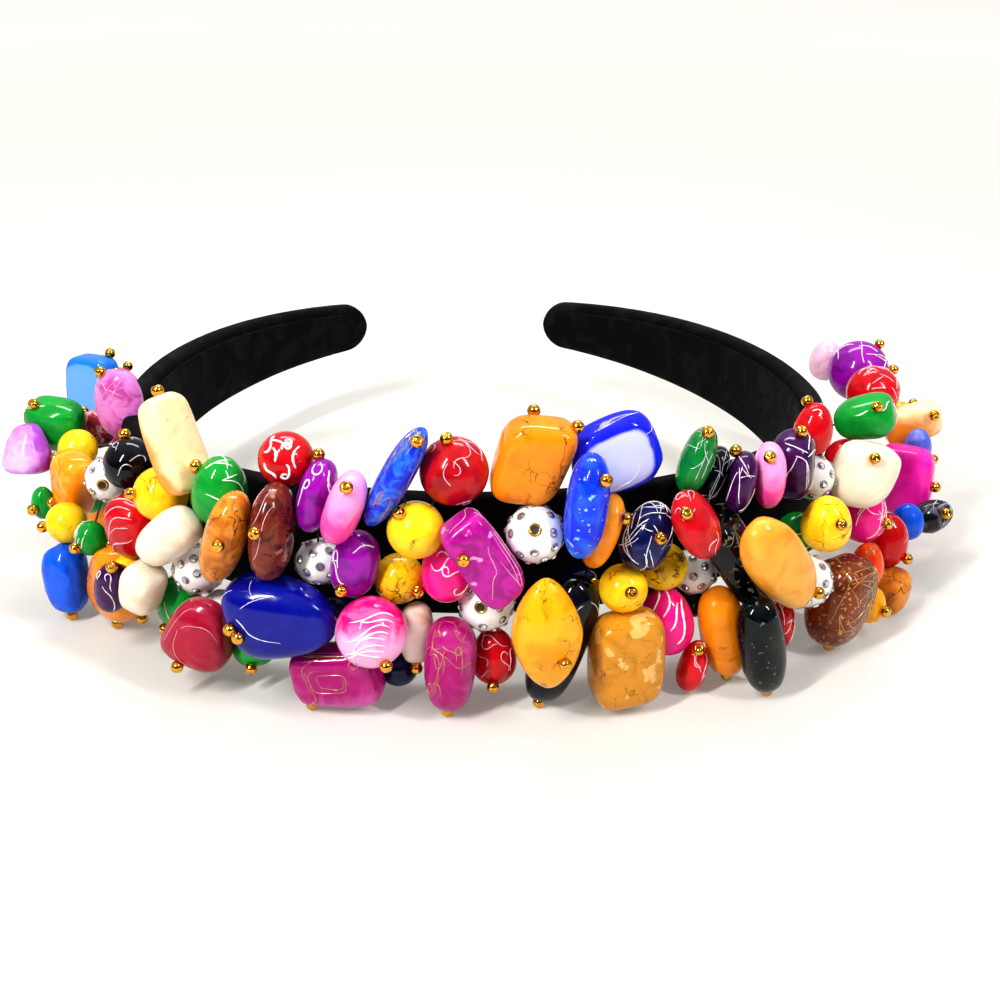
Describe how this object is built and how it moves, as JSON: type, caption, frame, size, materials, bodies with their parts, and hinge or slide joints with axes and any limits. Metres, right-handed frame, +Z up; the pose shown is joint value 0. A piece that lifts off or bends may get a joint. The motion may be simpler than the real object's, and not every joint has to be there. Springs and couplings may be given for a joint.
{
  "type": "beaded headband",
  "caption": "Open padded velvet headband with a lined inner face, its crown and flanks crowded with large sewn-on resin nuggets, drizzle balls and rhinestone balls.",
  "frame": {"origin": "middle of the footprint's bounding box, on the plane of the table that the headband lies on", "axes": "+Y from the beaded crown towards the two open tips, +Z up from the table, +X across the band from one flank to the other, towards the right in a view from the crown side"},
  "size_m": [0.2048, 0.1592, 0.0573],
  "materials": {
    "velvet": "matt black velvet with a short nap",
    "lining": "matt black woven lining",
    "bead_mix": "polished resin and drizzle beads of many colours",
    "light_blue": "polished resin, some with veins or drizzled lines",
    "pink": "polished resin, some with veins or drizzled lines",
    "green": "polished resin, some with veins or drizzled lines",
    "lilac": "polished resin, some with veins or drizzled lines",
    "orange": "polished resin, some with veins or drizzled lines",
    "peach": "polished resin, some with veins or drizzled lines",
    "blue": "polished resin, some with veins or drizzled lines",
    "red": "polished resin, some with veins or drizzled lines",
    "amber": "polished resin, some with veins or drizzled lines",
    "cream": "polished resin, some with veins or drizzled lines",
    "brown": "polished resin, some with veins or drizzled lines",
    "royal_blue": "polished resin, some with veins or drizzled lines",
    "yellow": "polished resin, some with veins or drizzled lines",
    "magenta": "polished resin, some with veins or drizzled lines",
    "rhinestone": "small facetted clear stones set over a ball",
    "black": "polished resin, some with veins or drizzled lines",
    "navy": "polished resin, some with veins or drizzled lines",
    "hot_pink": "polished resin, some with veins or drizzled lines",
    "purple": "polished resin, some with veins or drizzled lines"
  },
  "bodies": {
    "root": {"velvet_band": "velvet", "inner_lining": "lining", "bead_field_left": "bead_mix", "bead_field_right": "bead_mix", "light_blue_slab": "light_blue", "pink_oval_back": "pink", "green_nugget_left": "green", "lilac_nugget": "lilac", "orange_nugget": "orange", "peach_slab": "peach", "blue_nugget_left": "blue", "red_nugget": "red", "amber_flat": "amber", "green_egg": "green", "cream_long": "cream", "red_wedge": "red", "amber_disc": "amber", "tiger_disc": "brown", "pink_disc_left": "pink", "blue_kite": "royal_blue", "blue_slender": "blue", "red_ball_crown": "red", "yellow_ball_crown": "yellow", "magenta_slab": "magenta", "pink_striped_ball": "pink", "magenta_drizzle_slab": "magenta", "magenta_capsule": "magenta", "amber_block": "amber", "rhinestone_crown": "rhinestone", "amber_diamond": "yellow", "black_long": "black", "blue_large": "blue", "blue_oval": "blue", "amber_large_slab": "amber", "web_ball": "navy", "red_disc_right": "red", "amber_capsule": "amber", "black_flake_slab": "black", "black_long_right": "black", "amber_leaf": "amber", "rhinestone_right": "rhinestone", "cream_nugget_right": "cream", "green_nugget_right": "green", "brown_web_nugget": "brown", "hot_pink_slab": "hot_pink", "peach_slab_right": "peach", "purple_web_ball": "purple", "red_splash_ball": "red"}
  },
  "joints": []
}
